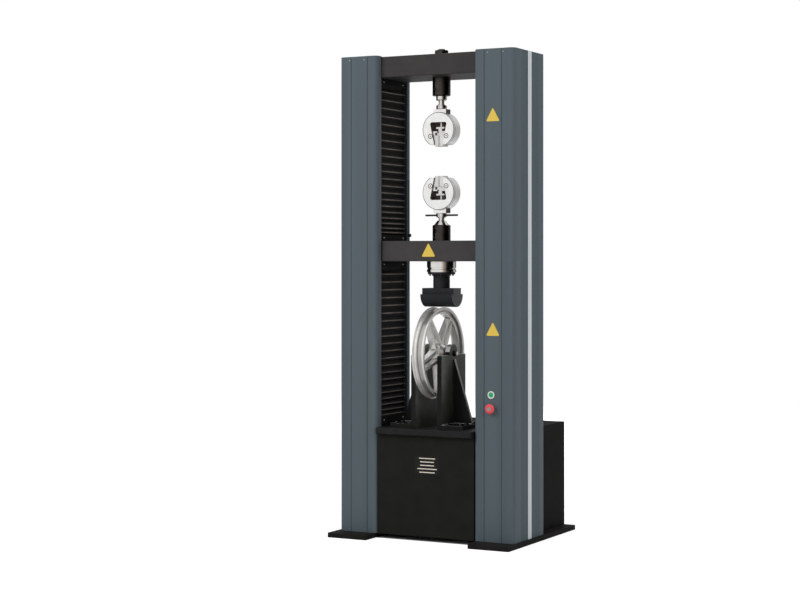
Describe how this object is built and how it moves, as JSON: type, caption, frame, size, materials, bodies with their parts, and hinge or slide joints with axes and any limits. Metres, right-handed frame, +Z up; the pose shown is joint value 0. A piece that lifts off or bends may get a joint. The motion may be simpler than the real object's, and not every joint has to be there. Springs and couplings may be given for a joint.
{
  "type": "wheel hub pressure testing machine",
  "caption": "Floor-standing two-column testing machine: a moving crosshead with a half-round indenter presses on a cast wheel held by its axle; wedge grips above.",
  "frame": {"origin": "on the floor, midway between the two columns, centre of the four floor anchor holes", "axes": "+X to the right seen from the front, +Y to the back, +Z up along the load axis"},
  "size_m": [1.04, 0.872, 2.561],
  "materials": {
    "column_paint": "satin",
    "beam_paint": "satin",
    "black_paint": "satin",
    "bright_steel": "satin",
    "ground_steel": "ground",
    "black_steel": "blackened",
    "cast_alloy": "cast",
    "pale_strip": "matt",
    "bellows_cloth": "matt",
    "belt_rubber": "matt",
    "bezel_metal": "polished",
    "green_cap": "gloss",
    "red_cap": "gloss",
    "grey_cap": "matt",
    "black_plastic": "matt"
  },
  "bodies": {
    "frame": {"base_frames": "black_paint", "lower_beam": "black_paint", "top_beam": "beam_paint", "guide_posts": "ground_steel", "screw_bearings": "black_steel", "drive_motor": "black_paint", "motor_bracket": "black_paint", "drive_belt": "belt_rubber", "servo_drive": "black_paint", "column_front_covers": "column_paint", "column_rear_covers": "column_paint", "column_side_panels": "column_paint", "column_inserts": "pale_strip", "column_caps": "column_paint", "button_bezels": "bezel_metal", "fixed_brackets": "black_paint", "upper_bellows": "bellows_cloth", "lower_bellows": "bellows_cloth", "work_table": "black_paint", "front_panel": "black_paint", "cabinet_shell": "black_paint", "cabinet_top": "black_paint", "upper_adapter": "black_steel", "upper_lock_nut": "bright_steel", "upper_spindle": "bright_steel", "draw_bolt": "black_steel", "wheel_axle": "bright_steel", "wheel_supports": "black_paint", "fixture_fasteners": "bright_steel", "upper_grip_body": "bright_steel", "upper_grip_front": "bright_steel"},
    "crosshead": {"crosshead": "beam_paint", "guide_bushes": "ground_steel", "ball_nuts": "ground_steel", "moving_brackets": "black_paint", "load_cell": "bright_steel", "indenter_stem": "black_steel", "indenter": "black_steel", "lower_adapter": "black_steel", "lower_lock_nut": "black_steel", "lower_spindle": "bright_steel", "lower_grip_body": "bright_steel", "lower_grip_front": "bright_steel"},
    "screw_left": {"ball_screw_left": "ground_steel"},
    "screw_right": {"ball_screw_right": "ground_steel"},
    "rotor": {"motor_rotor": "ground_steel"},
    "start_button": {"start_button": "green_cap"},
    "stop_plunger": {"stop_plunger": "grey_cap"},
    "stop_head": {"stop_head": "red_cap"},
    "limit_knob": {"limit_knob": "black_plastic"},
    "wheel": {"wheel": "cast_alloy", "wheel_bearings": "ground_steel"},
    "upper_collar": {"upper_collar": "bright_steel"},
    "upper_carrier": {"upper_carrier": "bright_steel"},
    "upper_jaw_left": {"upper_jaw_left": "bright_steel"},
    "upper_jaw_right": {"upper_jaw_right": "bright_steel"},
    "lower_collar": {"lower_collar": "bright_steel"},
    "lower_carrier": {"lower_carrier": "bright_steel"},
    "lower_jaw_left": {"lower_jaw_left": "bright_steel"},
    "lower_jaw_right": {"lower_jaw_right": "bright_steel"}
  },
  "joints": [
    {"name": "crosshead_travel", "type": "slide", "parent": "frame", "child": "crosshead", "axis": [0, 0, 1], "range_m": [-0.001, 0.14], "deforming": ["upper_bellows", "lower_bellows"]},
    {"name": "screw_left_turn", "type": "hinge", "parent": "frame", "child": "screw_left", "pos_m": [-0.391, 0, 0.4], "axis": [0, 0, -1], "range_deg": [-38, 5042]},
    {"name": "screw_right_turn", "type": "hinge", "parent": "frame", "child": "screw_right", "pos_m": [0.391, 0, 0.4], "axis": [0, 0, -1], "range_deg": [-38, 5042]},
    {"name": "rotor_turn", "type": "hinge", "parent": "frame", "child": "rotor", "pos_m": [0, 0.3, 0.4], "axis": [0, 0, -1], "range_deg": [-48, 6386]},
    {"name": "wheel_spin", "type": "hinge", "parent": "frame", "child": "wheel", "pos_m": [-0.018, 0, 0.965], "axis": [1, 0, 0], "continuous": true},
    {"name": "start_press", "type": "slide", "parent": "frame", "child": "start_button", "axis": [0, 1, 0], "range_m": [0, 0.0025], "stiffness_N_per_m": 1200, "springref_m": -0.002},
    {"name": "stop_press", "type": "slide", "parent": "frame", "child": "stop_plunger", "axis": [0, 1, 0], "range_m": [0, 0.005]},
    {"name": "stop_twist", "type": "hinge", "parent": "stop_plunger", "child": "stop_head", "pos_m": [0.379, -0.2, 0.701], "axis": [0, 1, 0], "range_deg": [0, 45], "stiffness_Nm_per_rad": 0.06},
    {"name": "limit_stop_slide", "type": "slide", "parent": "frame", "child": "limit_knob", "axis": [0, 0, 1], "range_m": [-0.28, 0.28]},
    {"name": "upper_carrier_slide", "type": "slide", "parent": "frame", "child": "upper_carrier", "axis": [0, 0, 1], "range_m": [-0.00194, 0.00791]},
    {"name": "upper_collar_turn", "type": "hinge", "parent": "frame", "child": "upper_collar", "pos_m": [0, 0, 2.2555], "axis": [0, 0, 1], "range_deg": [-142, 573]},
    {"name": "upper_jaw_left_slide", "type": "slide", "parent": "frame", "child": "upper_jaw_left", "axis": [-0.2079, 0, 0.9781], "range_m": [-0.00201, 0.00815]},
    {"name": "upper_jaw_right_slide", "type": "slide", "parent": "frame", "child": "upper_jaw_right", "axis": [0.2079, 0, 0.9781], "range_m": [-0.00201, 0.00815]},
    {"name": "lower_carrier_slide", "type": "slide", "parent": "crosshead", "child": "lower_carrier", "axis": [0, 0, -1], "range_m": [-0.00194, 0.00791]},
    {"name": "lower_collar_turn", "type": "hinge", "parent": "crosshead", "child": "lower_collar", "pos_m": [0, 0, 1.6895], "axis": [0, 0, -1], "range_deg": [-142, 573]},
    {"name": "lower_jaw_left_slide", "type": "slide", "parent": "crosshead", "child": "lower_jaw_left", "axis": [-0.2079, 0, -0.9781], "range_m": [-0.00201, 0.00815]},
    {"name": "lower_jaw_right_slide", "type": "slide", "parent": "crosshead", "child": "lower_jaw_right", "axis": [0.2079, 0, -0.9781], "range_m": [-0.00201, 0.00815]}
  ],
  "couplings": [
    {"joint": "screw_left_turn", "follows": "crosshead_travel", "rad_per_m": 628.32},
    {"joint": "screw_right_turn", "follows": "crosshead_travel", "rad_per_m": 628.32},
    {"joint": "rotor_turn", "follows": "crosshead_travel", "rad_per_m": 795.87},
    {"joint": "upper_collar_turn", "follows": "upper_carrier_slide", "rad_per_m": 1256.6},
    {"joint": "upper_jaw_left_slide", "follows": "upper_carrier_slide", "ratio": 1.0223},
    {"joint": "upper_jaw_right_slide", "follows": "upper_carrier_slide", "ratio": 1.0223},
    {"joint": "lower_collar_turn", "follows": "lower_carrier_slide", "rad_per_m": 1256.6},
    {"joint": "lower_jaw_left_slide", "follows": "lower_carrier_slide", "ratio": 1.0223},
    {"joint": "lower_jaw_right_slide", "follows": "lower_carrier_slide", "ratio": 1.0223}
  ]
}
